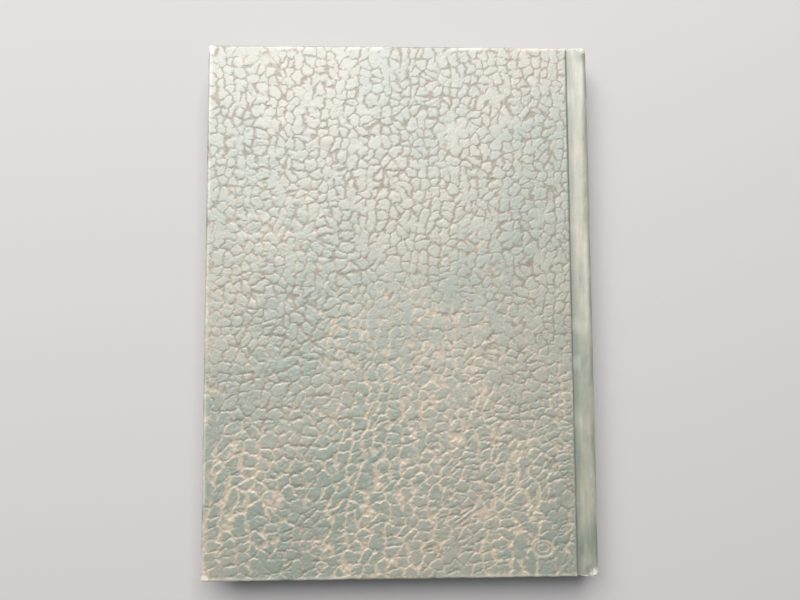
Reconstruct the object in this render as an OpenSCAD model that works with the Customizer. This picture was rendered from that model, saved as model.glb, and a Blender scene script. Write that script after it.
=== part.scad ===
// Case-bound pilot logbook, closed, lying on its front cover with the spine at +X.
// Origin at the centre of the footprint on the resting plane, +Z up, +Y towards the head.

/* [Case] */
// Width of the closed case, fore-edge to spine
cover_w = 157; // [120:1:220]
// Height of the case, head to tail
cover_h = 216; // [160:1:320]
// Thickness of the binder's board
board_t = 2.4; // [1.6:0.1:3.2]
// Thickness of the grained covering material
skin_t = 0.35; // [0.3:0.05:0.6]
// Width of the turn-ins on the inner side of each board
turn_in = 15; // [8:1:20]
// Distance from the spine face to the edge of each board
joint_w = 9; // [8.6:0.1:12]
// Depth of the pressed joint groove
groove_d = 1.5; // [0.8:0.1:1.8]

/* [Spine] */
// Thickness of the flexible spine inlay
inlay_t = 2; // [1:0.1:2.4]
// Thickness of the smooth spine cloth
cloth_t = 0.6; // [0.4:0.05:0.7]
// Overhang of the case beyond the leaves at the fore-edge
square_fore = 4; // [2:0.5:6]
// Overhang of the case beyond the leaves at head and tail
square_ends = 3; // [2:0.5:5]

/* [Text block] */
// Thickness of one sewn section
section_t = 0.9; // [0.6:0.05:1.4]
// Thickness of one loose-standing leaf
leaf_t = 0.15; // [0.12:0.01:0.25]
// Thickness of the pasted endpaper
paste_t = 0.12; // [0.1:0.01:0.2]
// Width of each linen tape
tape_w = 14; // [8:1:20]
// Radius of the sewing thread
thread_r = 0.14; // [0.1:0.01:0.15]
// Radius of the head and tail bands
band_r = 0.8; // [0.5:0.1:1]

/* [Hidden] */
half_n = 6;
gap = 0.03;
slip = 0.02;
turn_t = 0.25;
tape_t = 0.2;
mull_t = 0.2;
lining_t = 0.2;
out_x = cover_w / 2;
out_y = cover_h / 2;
face_x = out_x - 5;
page_x0 = -out_x + square_fore + 0;
page_y = out_y - square_ends;
board_x = out_x - joint_w;
case_t = skin_t + board_t + turn_t + paste_t;
fly_z = case_t + gap;
text_z = fly_z + leaf_t + gap;
half_t = half_n * section_t;
leaf_a_z = text_z + half_t + gap;
leaf_b_z = leaf_a_z + leaf_t + gap;
book_t = 2 * (text_z + half_t) + 3 * gap + 2 * leaf_t;
mid_z = book_t / 2;
inlay_x1 = out_x - cloth_t;
inlay_x0 = inlay_x1 - inlay_t;
inlay_e = 0.9;
cap_t = 0.4;
strip_x0 = board_x + 0.8;
strip_x1 = strip_x0 + 3;
lip_x = out_x - 3;
tapes_y = [-60, 0, 60];
kettle_y = 92;
mull_y = 88;

// A block between two corners.
module block(a, b) {
    translate(a) cube(b - a);
}

// A profile drawn in x and z, run along y from y0 to y1.
module run_y(y0, y1) {
    translate([0, y1, 0]) rotate([90, 0, 0]) linear_extrude(height = y1 - y0) children();
}

// The back half of the book is the front half turned over about the middle height.
module turned() {
    translate([0, 0, book_t]) mirror([0, 0, 1]) children();
}

// One folded section, with a rounded fold on the spine side.
module section(n) {
    t = section_t - slip;
    color([0.93, 0.91, 0.84])
    translate([0, 0, text_z + n * section_t])
    run_y(-page_y, page_y)
    union() {
        translate([page_x0, 0]) square([face_x - t / 2 - page_x0, t]);
        translate([face_x - t / 2, t / 2]) circle(r = t / 2, $fn = 24);
    }
}

// A single leaf lying flat at height z.
module leaf(z) {
    color([0.94, 0.92, 0.86])
    block([page_x0, -page_y, z], [face_x, page_y, z + leaf_t]);
}

// Threads running over the folds at the kettles and beside the tapes.
module threads() {
    color([0.95, 0.94, 0.9])
    for (y = [-kettle_y, kettle_y])
        translate([face_x + gap + thread_r, y, text_z + 0.4])
            cylinder(r = thread_r, h = half_t - 0.8, $fn = 20);
    color([0.95, 0.94, 0.9])
    for (y = tapes_y, s = [-1, 1])
        translate([face_x + gap + thread_r, y + s * (tape_w / 2 + 0.5), text_z + 0.4])
            cylinder(r = thread_r, h = half_t - 0.8, $fn = 20);
}

// Linen tapes laid across the folds.
module tapes() {
    color([0.85, 0.82, 0.72])
    for (y = tapes_y)
        block([face_x + gap, y - tape_w / 2, text_z], [face_x + gap + tape_t, y + tape_w / 2, text_z + half_t]);
}

// Open-weave mull glued over the tapes.
module mull() {
    x = face_x + 2 * gap + 2 * thread_r;
    color([0.88, 0.86, 0.78])
    block([x, -mull_y, text_z], [x + mull_t, mull_y, text_z + half_t]);
}

// Kraft lining glued over the mull.
module spine_lining() {
    x = face_x + 3 * gap + 2 * thread_r + mull_t;
    color([0.72, 0.6, 0.44])
    block([x, -mull_y - 6, text_z], [x + lining_t, mull_y + 6, text_z + half_t]);
}

// A rolled band with its glued tab, at the head.
module headband() {
    color([0.3, 0.42, 0.34])
    union() {
        translate([face_x - 0.5, page_y + gap + band_r, text_z])
            cylinder(r = band_r, h = half_t, $fn = 32);
        block([face_x + gap, page_y - 9, text_z], [face_x + gap + tape_t, page_y + gap + band_r, text_z + half_t]);
    }
}

// The same band at the tail.
module tailband() {
    mirror([0, 1, 0]) headband();
}

// The cloth in the pressed joint groove between a board and the spine.
module joint_cloth() {
    color([0.56, 0.6, 0.52])
    run_y(-out_y + 0.5, out_y - 0.5)
    polygon([
        [strip_x0, groove_d], [strip_x0 + 1.5, groove_d - 0.15], [strip_x1, groove_d - 0.6],
        [strip_x1, groove_d - 0.6 + cloth_t], [strip_x0 + 1.5, groove_d - 0.15 + cloth_t],
        [strip_x0, groove_d + cloth_t]
    ]);
}

// A binder's board.
module board() {
    color([0.62, 0.58, 0.5])
    block([-out_x + skin_t, -out_y + skin_t, skin_t], [board_x, out_y - skin_t, skin_t + board_t]);
}

// The grained covering of one board, with its turned-in edges.
module side_cover() {
    z1 = skin_t + board_t;
    color([0.76, 0.76, 0.7])
    difference() {
        block([-out_x, -out_y, 0], [board_x, out_y, z1 + turn_t]);
        block([-out_x + skin_t, -out_y + skin_t, skin_t], [board_x + 1, out_y - skin_t, z1]);
        block([-out_x + turn_in, -out_y + turn_in, z1 - 1], [board_x + 1, out_y - turn_in, z1 + 1]);
    }
}

// The pastedown over the turn-ins and the bare middle of the board.
module pastedown() {
    z1 = skin_t + board_t;
    color([0.93, 0.91, 0.85])
    union() {
        block([-out_x + turn_in, -out_y + turn_in, z1], [board_x, out_y - turn_in, z1 + turn_t + paste_t / 2]);
        block([-out_x + 4, -out_y + 4, z1 + turn_t], [board_x, out_y - 4, z1 + turn_t + paste_t]);
    }
}

// The card that stiffens the spine.
module spine_inlay() {
    color([0.6, 0.55, 0.46])
    block([inlay_x0, -out_y + cloth_t, inlay_e], [inlay_x1, out_y - cloth_t, book_t - inlay_e]);
}

// The smooth cloth round the spine, its lips over the shoulders and its head and tail caps.
module spine_cloth() {
    r = 2;
    color([0.6, 0.64, 0.56])
    difference() {
        run_y(-out_y, out_y)
        union() {
            translate([lip_x, 0.15]) square([out_x - r - lip_x, book_t - 0.3]);
            translate([out_x - r, 0.15 + r]) circle(r = r, $fn = 48);
            translate([out_x - r, book_t - 0.15 - r]) circle(r = r, $fn = 48);
            translate([out_x - r, 0.15 + r]) square([r, book_t - 0.3 - 2 * r]);
        }
        block([inlay_x0 - 5, -out_y + cloth_t, inlay_e], [inlay_x1, out_y - cloth_t, book_t - inlay_e]);
        block([inlay_x0 - 5, -out_y - 1, inlay_e], [inlay_x0 - cap_t, out_y + 1, book_t - inlay_e]);
    }
}

section(0);  // section_01
section(1);  // section_02
section(2);  // section_03
section(3);  // section_04
section(4);  // section_05
section(5);  // section_06
threads();  // thread_front
tapes();  // tapes_front
mull();  // mull_front
spine_lining();  // spine_lining_front
headband();  // headband_front
tailband();  // tailband_front
joint_cloth();  // front_joint_cloth
leaf(fly_z);  // front_flyleaf
board();  // front_board
side_cover();  // front_side_cover
pastedown();  // front_pastedown
spine_inlay();
spine_cloth();
leaf(leaf_a_z);  // centre_leaf_a
leaf(leaf_b_z);  // centre_leaf_b
turned() section(5);  // section_07
turned() section(4);  // section_08
turned() section(3);  // section_09
turned() section(2);  // section_10
turned() section(1);  // section_11
turned() section(0);  // section_12
turned() threads();  // thread_back
turned() tapes();  // tapes_back
turned() mull();  // mull_back
turned() spine_lining();  // spine_lining_back
turned() headband();  // headband_back
turned() tailband();  // tailband_back
turned() joint_cloth();  // back_joint_cloth
turned() leaf(fly_z);  // back_flyleaf
turned() board();  // back_board
turned() side_cover();  // back_side_cover
turned() pastedown();  // back_pastedown
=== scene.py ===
"""Builds the visual model of a case-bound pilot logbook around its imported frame."""
import logging
import math
from dataclasses import dataclass, field
from enum import Enum
from functools import reduce
from typing import Any, Callable, Optional, Sequence

import bpy
import numpy as np
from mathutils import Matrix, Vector


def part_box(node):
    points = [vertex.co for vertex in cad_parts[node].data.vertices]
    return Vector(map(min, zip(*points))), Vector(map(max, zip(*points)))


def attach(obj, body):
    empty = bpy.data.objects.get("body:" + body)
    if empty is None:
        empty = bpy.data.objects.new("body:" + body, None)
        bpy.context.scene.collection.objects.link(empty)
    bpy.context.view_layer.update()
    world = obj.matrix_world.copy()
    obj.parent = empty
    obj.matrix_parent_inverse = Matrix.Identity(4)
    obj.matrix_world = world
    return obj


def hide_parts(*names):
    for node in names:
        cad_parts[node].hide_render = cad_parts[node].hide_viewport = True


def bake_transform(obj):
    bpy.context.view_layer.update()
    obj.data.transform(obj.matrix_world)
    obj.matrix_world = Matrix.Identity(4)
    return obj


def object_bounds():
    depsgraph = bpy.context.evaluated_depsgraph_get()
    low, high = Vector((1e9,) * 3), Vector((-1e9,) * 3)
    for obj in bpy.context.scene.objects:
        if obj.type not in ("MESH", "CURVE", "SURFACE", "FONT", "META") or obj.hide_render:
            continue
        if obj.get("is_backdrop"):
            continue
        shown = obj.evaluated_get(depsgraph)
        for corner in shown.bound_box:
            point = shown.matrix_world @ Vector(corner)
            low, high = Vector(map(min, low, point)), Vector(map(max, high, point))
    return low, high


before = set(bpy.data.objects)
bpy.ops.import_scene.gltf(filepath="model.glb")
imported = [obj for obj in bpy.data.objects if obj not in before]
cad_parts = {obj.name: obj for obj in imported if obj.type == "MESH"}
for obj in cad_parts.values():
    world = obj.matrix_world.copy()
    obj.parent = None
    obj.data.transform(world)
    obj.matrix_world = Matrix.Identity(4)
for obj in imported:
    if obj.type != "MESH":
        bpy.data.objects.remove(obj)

LOG = logging.getLogger("logbook")
MM = 0.001
Array = np.ndarray
Material = bpy.types.Material
Object = bpy.types.Object
Triple = tuple[float, float, float]


# ---- shader maths


class Term:
    """A socket that can be used in a Python expression."""

    def __init__(self, graph: "Graph", socket: Optional[bpy.types.NodeSocket]) -> None:
        """Wraps a socket."""
        self.graph = graph
        self.socket = socket

    @staticmethod
    def _operator(operation: str, swapped: bool = False) -> Callable[["Term", Any], "Term"]:
        """Makes the method behind one Python operator.

        Args:
            operation: The Math node's operation.
            swapped: Whether the term is the second operand.

        Returns:
            The method.
        """
        def method(self: "Term", other: Any) -> "Term":
            """Joins the term and the other value in a Math node."""
            pair = (other, self) if swapped else (self, other)
            return self.graph.maths(operation, *pair)

        return method

    __add__ = __radd__ = _operator("ADD")
    __mul__ = __rmul__ = _operator("MULTIPLY")
    __sub__, __rsub__ = _operator("SUBTRACT"), _operator("SUBTRACT", True)
    __mod__ = _operator("FLOORED_MODULO")
    __lt__, __gt__ = _operator("LESS_THAN"), _operator("GREATER_THAN")

    def clamped(self) -> "Term":
        """The value held between 0 and 1."""
        return self.graph.maths("MINIMUM", self.graph.maths("MAXIMUM", self, 0.0), 1.0)

    def smooth(self, low: float, high: float) -> "Term":
        """A smooth step."""
        return self.graph.node("ShaderNodeMapRange", {"interpolation_type": "SMOOTHSTEP"},
                               {"Value": self, "From Min": low, "From Max": high})


class Graph:
    """The node graph of one material."""

    def __init__(self, name: str) -> None:
        """Starts an empty material.

        Args:
            name: The material's name.
        """
        self.material = bpy.data.materials.new(name)
        self.material.use_nodes = True
        self.tree = self.material.node_tree
        self.tree.nodes.clear()

    def node(self, kind: str, settings: Optional[dict] = None, inputs: Optional[dict] = None,
             out: Any = 0) -> Term:
        """Adds any node.

        Args:
            kind: The node's type name.
            settings: Attributes set first.
            inputs: Values or terms, by socket name or number.
            out: The output socket's name or number.

        Returns:
            The chosen output as a term.
        """
        made = self.tree.nodes.new(kind)
        for key, value in (settings or {}).items():
            setattr(made, key, value)
        for key, value in (inputs or {}).items():
            socket = made.inputs[key]
            if isinstance(value, Term):
                self.tree.links.new(value.socket, socket)
            elif isinstance(value, (tuple, list)) and socket.type == "RGBA":
                socket.default_value = (*value[:3], 1.0)
            else:
                socket.default_value = value
        return Term(self, made.outputs[out] if len(made.outputs) else None)

    def maths(self, operation: str, *values: Any) -> Term:
        """Adds a Math node."""
        return self.node("ShaderNodeMath", {"operation": operation}, dict(enumerate(values)))

    def mix(self, factor: Any, first: Any, second: Any) -> Term:
        """Mixes two colours."""
        return self.node("ShaderNodeMix", {"data_type": "RGBA"}, {0: factor, 6: first, 7: second}, out=2)

    def place(self) -> Term:
        """The point in the piece's own coordinates."""
        return self.node("ShaderNodeTexCoord", out="Object")

    def rest(self) -> Term:
        """The point at rest, kept on the mesh, for pieces that bend."""
        return self.node("ShaderNodeAttribute", {"attribute_name": "rest_place"}, out="Vector")

    def axes(self, point: Term) -> tuple[Term, Term, Term]:
        """The three parts of a vector.

        Args:
            point: The vector.

        Returns:
            Its x, y and z.
        """
        split = self.node("ShaderNodeSeparateXYZ", None, {0: point})
        outs = split.socket.node.outputs
        return tuple(Term(self, outs[i]) for i in range(3))

    def attribute(self, name: str) -> Term:
        """A value that the mesh holds at each point."""
        return self.node("ShaderNodeAttribute", {"attribute_name": name}, out="Fac")

    def stretched(self, point: Term, scale: tuple[float, float, float]) -> Term:
        """The point multiplied along each axis."""
        return self.node("ShaderNodeVectorMath", {"operation": "MULTIPLY"}, {0: point, 1: scale})

    def noise(self, point: Term, scale: float, detail: float = 2.0, rough: float = 0.5) -> Term:
        """Fractal noise from 0 to 1."""
        return self.node("ShaderNodeTexNoise", None,
                         {"Vector": point, "Scale": scale, "Detail": detail, "Roughness": rough})

    def near_any(self, value: Term, places: Sequence[float], reach: float) -> Term:
        """Marks the values near any of some places."""
        marks = [self.maths("ABSOLUTE", value - place) < reach for place in places]
        return reduce(lambda one, other: self.maths("MAXIMUM", one, other), marks)

    def bump(self, height: Term, distance: float, strength: float = 1.0) -> Term:
        """A normal bent by a height."""
        return self.node("ShaderNodeBump", None,
                         {"Strength": strength, "Distance": distance, "Height": height})

    def surface(self, fixed: dict[str, Any], **varying: Term) -> Material:
        """Ends the material in one principled surface.

        Args:
            fixed: Values that are the same all over, by socket name.
            varying: Terms, by socket name with underscores for spaces.

        Returns:
            The material.
        """
        inputs: dict[str, Any] = dict(fixed)
        inputs.update({key.replace("_", " "): value for key, value in varying.items()})
        shader = self.node("ShaderNodeBsdfPrincipled", None, inputs)
        self.node("ShaderNodeOutputMaterial", None, {"Surface": shader})
        return self.material


# ---- finishes


class Finish:
    """A finish that fills a material's graph from its own values."""

    def build(self, name: str) -> Material:
        """Makes the material."""
        return self.paint(Graph(name))

    def paint(self, g: Graph) -> Material:
        """Fills the graph."""
        raise NotImplementedError


@dataclass(frozen=True)
class GrainedFinish(Finish):
    """Crinkle-grained leatherette: green plateaus between tan creases."""

    plateau: Triple = (0.168, 0.212, 0.168)
    plateau_alt: Triple = (0.270, 0.268, 0.212)
    crease: Triple = (0.440, 0.372, 0.278)
    # The colour of the painted shade in the creases.
    painted_crease_shade: Triple = (0.150, 0.115, 0.072)
    worn: Triple = (0.620, 0.600, 0.530)
    gloss: float = 0.50
    crease_gloss: float = 0.60

    def paint(self, g: Graph) -> Material:
        """Fills the graph."""
        at = g.place()
        crease = g.attribute("crease")
        tone = g.attribute("tone")
        worn = g.attribute("worn")
        mottle = g.noise(at, 420.0, 4.0, 0.65)
        broad = g.noise(at, 30.0, 2.0)
        fine = g.noise(at, 2400.0, 3.0, 0.6)
        lump = g.noise(at, 980.0, 3.0, 0.62)
        hard = (crease + (mottle - 0.5) * 0.35 + (lump - 0.5) * 1.5).smooth(0.12, 0.95)
        tan = (tone * 1.1 + (mottle - 0.5) * 0.4 + (lump - 0.5) * 1.35).smooth(0.05, 1.0)
        tan = tan.smooth(0.03, 0.92)
        patches = broad.smooth(0.35, 0.65) * 0.70 + (mottle - 0.5) * 0.9 + (lump - 0.5) * 1.0
        plateau = g.mix(patches.clamped(), self.plateau, self.plateau_alt)
        colour = g.mix(tan * 0.85, plateau, self.crease)
        # Painted shade in the creases, strongest where the tan is weak.
        colour = g.mix(hard.smooth(0.22, 0.90) * (0.76 - tan * 0.58), colour, self.painted_crease_shade)
        colour = g.mix((worn * (0.55 + mottle * 0.9)).clamped(), colour, self.worn)
        rough = (self.gloss + hard * (self.crease_gloss - self.gloss) + (fine - 0.5) * 0.12
                 + (broad - 0.5) * 0.06)
        height = fine * 0.35 + mottle * 0.6 + lump * 1.5 - hard * 0.5
        return g.surface(
            {"Specular IOR Level": 1.0, "IOR": 1.6, "Coat Roughness": 0.50, "Coat IOR": 1.6},
            Base_Color=colour, Roughness=rough.clamped(),
            Coat_Weight=(1 - hard * 0.65).clamped(),
            Normal=g.bump(height, 0.00013, 0.85),
        )


@dataclass(frozen=True)
class SmoothClothFinish(Finish):
    """Smooth coated spine cloth with a fine cross grain and rubbed high places."""

    body: Triple = (0.205, 0.232, 0.182)
    rubbed: Triple = (0.360, 0.340, 0.265)
    stained: Triple = (0.110, 0.150, 0.112)

    def paint(self, g: Graph) -> Material:
        """Fills the graph."""
        at = g.rest()
        worn = g.attribute("worn")
        painted_shade = g.attribute("tone")
        grain = g.noise(g.stretched(at, (0.25, 1.0, 0.25)), 1500.0, 3.0, 0.55)
        streak = g.noise(g.stretched(at, (1.0, 0.07, 1.0)), 1100.0, 3.0, 0.6)
        cloud = g.noise(g.stretched(at, (1.0, 0.40, 1.0)), 150.0, 4.0, 0.6)
        patch = g.noise(at, 34.0, 2.0)
        fine = g.noise(at, 2400.0, 3.0, 0.6)
        colour = g.mix(cloud.smooth(0.36, 0.66) * 0.75, self.body, self.rubbed)
        colour = g.mix(patch.smooth(0.50, 0.70) * 0.50, colour, self.stained)
        colour = g.mix((streak.smooth(0.45, 0.75) * 0.45).clamped(), colour, (0.36, 0.375, 0.315))
        colour = g.mix(((1 - streak).smooth(0.55, 0.80) * 0.28).clamped(), colour, (0.15, 0.170, 0.130))
        # Painted shade: darker in the joint groove, in the dip just inside each end and on the outer side face.
        colour = g.mix((painted_shade * (0.65 + cloud * 0.5)).clamped() * 0.72, colour, (0.085, 0.120, 0.095))
        colour = g.mix((worn * (0.55 + fine * 1.2)).clamped(), colour, (0.64, 0.635, 0.57))
        rough = 0.46 + (fine - 0.5) * 0.14 + cloud * 0.12
        return g.surface(
            {"Specular IOR Level": 0.9, "IOR": 1.55, "Coat Weight": 0.45, "Coat Roughness": 0.42},
            Base_Color=colour, Roughness=rough,
            Normal=g.bump(grain * 0.5 + streak * 0.7 + fine * 0.6, 0.00009, 0.8),
        )


class Ruling(Enum):
    """What is printed on a sheet."""

    NONE = "plain endpaper"
    LOG = "ruled log columns"


@dataclass(frozen=True)
class PaperFinish(Finish):
    """Uncoated paper, plain or ruled in blank columns."""

    body: Triple
    shade: Triple
    ruling: Ruling = Ruling.NONE
    row: float = 0.0075
    columns: tuple[float, ...] = (-0.0625, -0.050, -0.0335, -0.017, 0.0, 0.0115, 0.023,
                                  0.0345, 0.046, 0.0575, 0.0665)
    line: float = 0.00019
    thick_line: float = 0.0003
    top: float = 0.0905
    heading: float = 0.0785
    totals: float = -0.0865
    foot: float = -0.0945
    ink: Triple = (0.22, 0.36, 0.48)
    red_ink: Triple = (0.55, 0.20, 0.18)

    def ruled(self, g: Graph, colour: Term, at: Term) -> Term:
        """Draws the blank table on a sheet.

        Args:
            g: The material's graph.
            colour: The paper's colour.
            at: The point at rest.

        Returns:
            The colour with its lines.
        """
        x, y, _ = g.axes(at)
        inside_x = (x > self.columns[0] - self.line) * (x < self.columns[-1] + self.line)
        inside_y = (y > self.foot) * (y < self.top)
        rows = ((y + 0.094) % self.row) < self.line * 1.4
        heads = g.near_any(x, self.columns, self.line)
        faint = (rows * (y < self.heading) * inside_x * inside_y * 0.75).clamped()
        colour = g.mix(faint, colour, self.ink)
        colour = g.mix((heads * inside_y * 0.75).clamped(), colour, self.ink)
        bars = g.near_any(y, (self.top, self.heading, self.totals, self.foot), self.thick_line)
        return g.mix((bars * inside_x * 0.8).clamped(), colour, self.red_ink)

    def paint(self, g: Graph) -> Material:
        """Fills the graph."""
        at = g.rest()
        fibre = g.noise(g.stretched(at, (1.0, 0.5, 1.0)), 2400.0, 4.0, 0.6)
        cloud = g.noise(at, 55.0, 3.0)
        edge = g.attribute("worn")
        colour = g.mix((cloud * 0.7 + (fibre - 0.5) * 0.5).clamped(), self.body, self.shade)
        colour = g.mix((edge * (0.5 + cloud * 0.5)).clamped(), colour, (0.40, 0.33, 0.23))
        if self.ruling is Ruling.LOG:
            colour = self.ruled(g, colour, at)
        return g.surface(
            {"Specular IOR Level": 0.25, "Sheen Weight": 0.08, "Sheen Roughness": 0.6},
            Base_Color=colour, Roughness=0.86 + (fibre - 0.5) * 0.14,
            Normal=g.bump(fibre * 0.7 + cloud * 0.3, 0.00004, 0.6),
        )


@dataclass(frozen=True)
class FibreBoardFinish(Finish):
    """Raw greyboard or brown kraft paper, flecked with fibres."""

    body: Triple
    fleck: Triple
    scale: float = 900.0

    def paint(self, g: Graph) -> Material:
        """Fills the graph."""
        at = g.place()
        fibre = g.noise(g.stretched(at, (1.0, 0.35, 2.0)), self.scale, 5.0, 0.65)
        cloud = g.noise(at, self.scale / 12.0, 2.0)
        colour = g.mix(fibre.smooth(0.42, 0.66), self.body, self.fleck)
        colour = g.mix((cloud * 0.3).clamped(), colour, (0.30, 0.26, 0.20))
        return g.surface(
            {"Specular IOR Level": 0.2},
            Base_Color=colour, Roughness=0.88 + (fibre - 0.5) * 0.1,
            Normal=g.bump(fibre, 0.00008, 0.8),
        )


@dataclass(frozen=True)
class WovenFinish(Finish):
    """Plain-woven thread, tape or mull."""

    body: Triple
    gap: Triple
    pitch: float
    openness: float = 0.2

    def paint(self, g: Graph) -> Material:
        """Fills the graph."""
        at = g.place()
        _, y, z = g.axes(at)
        turn = 2 * math.pi / self.pitch
        warp = g.maths("SINE", y * turn) * 0.5 + 0.5
        weft = g.maths("SINE", z * turn) * 0.5 + 0.5
        over = g.maths("MAXIMUM", warp, weft)
        hairs = g.noise(at, 3000.0, 3.0, 0.6)
        hole = (1 - over.smooth(self.openness, self.openness + 0.35)).clamped()
        # Painted shade: the gaps between the threads are darkened with the gap colour.
        colour = g.mix((hole * 0.9).clamped(), self.body, self.gap)
        colour = g.mix((hairs * 0.35).clamped(), colour, (0.55, 0.52, 0.44))
        return g.surface(
            {"Specular IOR Level": 0.2, "Sheen Weight": 0.25, "Sheen Roughness": 0.5},
            Base_Color=colour, Roughness=0.82 + (hairs - 0.5) * 0.2,
            Normal=g.bump(over + hairs * 0.3, 0.00012, 0.9),
        )


@dataclass(frozen=True)
class SilkFinish(Finish):
    """Twisted silk of the head and tail bands, in two colours by turn."""

    first: Triple = (0.11, 0.20, 0.14)
    second: Triple = (0.72, 0.68, 0.56)

    def paint(self, g: Graph) -> Material:
        """Fills the graph."""
        at = g.place()
        tone = g.attribute("tone")
        x, y, z = g.axes(at)
        strand = g.maths("SINE", (x + y + z * 0.35) * 52000.0) * 0.5 + 0.5
        hairs = g.noise(at, 5200.0, 2.0)
        colour = g.mix(tone, self.first, self.second)
        # Painted shade: dark stripes between the twisted strands.
        colour = g.mix((strand * 0.25).clamped(), colour, (0.05, 0.06, 0.04))
        return g.surface(
            {"Specular IOR Level": 0.5, "Sheen Weight": 0.3, "Sheen Roughness": 0.35},
            Base_Color=colour, Roughness=0.5 + hairs * 0.2,
            Normal=g.bump(strand + hairs * 0.5, 0.00005, 0.8),
        )


@dataclass(frozen=True)
class FloorFinish(Finish):
    """The plain pale ground that the book lies on."""

    body: Triple = (0.47, 0.47, 0.475)

    def paint(self, g: Graph) -> Material:
        """Fills the graph."""
        drift = g.noise(g.place(), 3.0, 2.0)
        colour = g.mix((drift * 0.25).clamped(), self.body, (0.44, 0.44, 0.448))
        return g.surface({"Specular IOR Level": 0.2, "Roughness": 0.9}, Base_Color=colour)


def made_once(finish: Finish, name: str) -> Any:
    """A dataclass field that holds one material."""
    return field(default_factory=lambda: finish.build(name))


@dataclass
class Finishes:
    """Every material of the book, made once."""

    grained: Material = made_once(GrainedFinish(), "grained_leatherette")
    cloth: Material = made_once(SmoothClothFinish(), "smooth_spine_cloth")
    endpaper: Material = made_once(PaperFinish((0.56, 0.535, 0.455), (0.49, 0.46, 0.38)), "endpaper")
    page: Material = made_once(
        PaperFinish((0.58, 0.555, 0.475), (0.51, 0.48, 0.40), Ruling.LOG), "ruled_page")
    board: Material = made_once(FibreBoardFinish((0.40, 0.37, 0.31), (0.24, 0.22, 0.18)), "greyboard")
    kraft: Material = made_once(
        FibreBoardFinish((0.42, 0.27, 0.14), (0.30, 0.18, 0.09), 700.0), "kraft_lining")
    tape: Material = made_once(WovenFinish((0.72, 0.66, 0.52), (0.36, 0.31, 0.22), 0.0008), "linen_tape")
    mull: Material = made_once(
        WovenFinish((0.74, 0.70, 0.60), (0.30, 0.26, 0.20), 0.0014, 0.45), "open_mull")
    thread: Material = made_once(
        WovenFinish((0.80, 0.76, 0.66), (0.42, 0.38, 0.30), 0.0006), "linen_thread")
    silk: Material = made_once(SilkFinish(), "band_silk")
    floor: Material = made_once(FloorFinish(), "pale_ground")


# ---- mesh helpers


def shape(name: str, points: Array, faces: Sequence[Sequence[int]], finish: Material,
          smooth: bool = True, values: Optional[dict[str, Array]] = None,
          sharp: float = 0.6) -> Object:
    """Makes a mesh object from points in millimetres.

    Args:
        name: The piece's name.
        points: Its corners, in millimetres.
        faces: Its faces, as rows of corner numbers.
        finish: Its material.
        smooth: Whether it is shaded smooth.
        values: Numbers kept at each corner, by attribute name.
        sharp: The angle in radians above which an edge stays sharp.

    Returns:
        The object, linked to the scene.
    """
    mesh = bpy.data.meshes.new(name)
    rest = np.asarray(points, float) * MM
    mesh.from_pydata(rest.tolist(), [], [list(f) for f in faces])
    mesh.materials.append(finish)
    if smooth:
        mesh.shade_smooth()
        mesh.set_sharp_from_angle(angle=sharp)
    kept = mesh.attributes.new("rest_place", "FLOAT_VECTOR", "POINT")
    kept.data.foreach_set("vector", rest.astype(np.float32).ravel())
    for key in ("worn", "tone", "crease"):
        given = (values or {}).get(key)
        if given is not None or key == "worn":
            data = np.zeros(len(rest)) if given is None else given
            mesh.attributes.new(key, "FLOAT", "POINT").data.foreach_set(
                "value", np.asarray(data, np.float32))
    mesh.validate()
    made = bpy.data.objects.new(name, mesh)
    bpy.context.scene.collection.objects.link(made)
    return made


def seated(piece: Object, body: str, node: str) -> Object:
    """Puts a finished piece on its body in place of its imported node.

    Args:
        piece: The piece.
        body: The body that it rides on.
        node: The node that it replaces.

    Returns:
        The piece.
    """
    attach(piece, body)
    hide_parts(node)
    return piece


def slab(gx: Array, gy: Array, upper: Array, drop: float) -> tuple[Array, list[list[int]]]:
    """Makes a thin closed sheet from a grid.

    Args:
        gx: The grid's first coordinates.
        gy: Its second coordinates.
        upper: The heights of the upper face.
        drop: How far the lower face is below it.

    Returns:
        The points and the faces.
    """
    top = np.column_stack([gx.ravel(), gy.ravel(), upper.ravel()])
    count = len(top)
    number = np.arange(count).reshape(gx.shape)
    faces = tiles(number)
    faces += [[i + count for i in face[::-1]] for face in faces]
    rim = border(number)
    after = np.roll(rim, -1)
    faces += np.stack([after, rim, rim + count, after + count], -1).tolist()
    return np.vstack([top, top - [0.0, 0.0, drop]]), faces


def tiles(number: Array) -> list[list[int]]:
    """The four-sided faces of a grid of numbered points."""
    quads = np.stack([number[:-1, :-1], number[:-1, 1:], number[1:, 1:], number[1:, :-1]], -1)
    return quads.reshape(-1, 4).tolist()


def border(number: Array) -> Array:
    """The numbers round a grid's edge, in order."""
    return np.concatenate([number[0, :-1], number[:-1, -1], number[-1, :0:-1], number[:0:-1, 0]])


def tube(rings: int, count: int, start: int = 0) -> list[list[int]]:
    """The faces of a closed tube.

    Args:
        rings: How many rings of points it has.
        count: How many points a ring has.
        start: The first point's number.

    Returns:
        The faces, ring after ring, and then the two ends.
    """
    faces = []
    for low in range(start, start + (rings - 1) * count, count):
        for i in range(count):
            j = (i + 1) % count
            faces.append([low + i, low + j, low + count + j, low + count + i])
    last = start + (rings - 1) * count
    return faces + [list(range(start, start + count))[::-1], list(range(last, last + count))]


def swept(profile: Array, stations: Array, move: Optional[Callable[[Array, float, int], Array]] = None
          ) -> tuple[Array, list[list[int]]]:
    """Sweeps a closed x-z outline along y.

    Args:
        profile: The outline's points, as rows of x and z, in order.
        stations: The y of each ring.
        move: Changes the outline at a station, given it, its y and its number.

    Returns:
        The points and the faces, closed at both ends.
    """
    count = len(profile)
    rings = []
    for number, y in enumerate(stations):
        outline = profile if move is None else move(profile.copy(), float(y), number)
        rings.append(np.column_stack([outline[:, 0], np.full(count, y), outline[:, 1]]))
    return np.vstack(rings), tube(len(stations), count)


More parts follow.
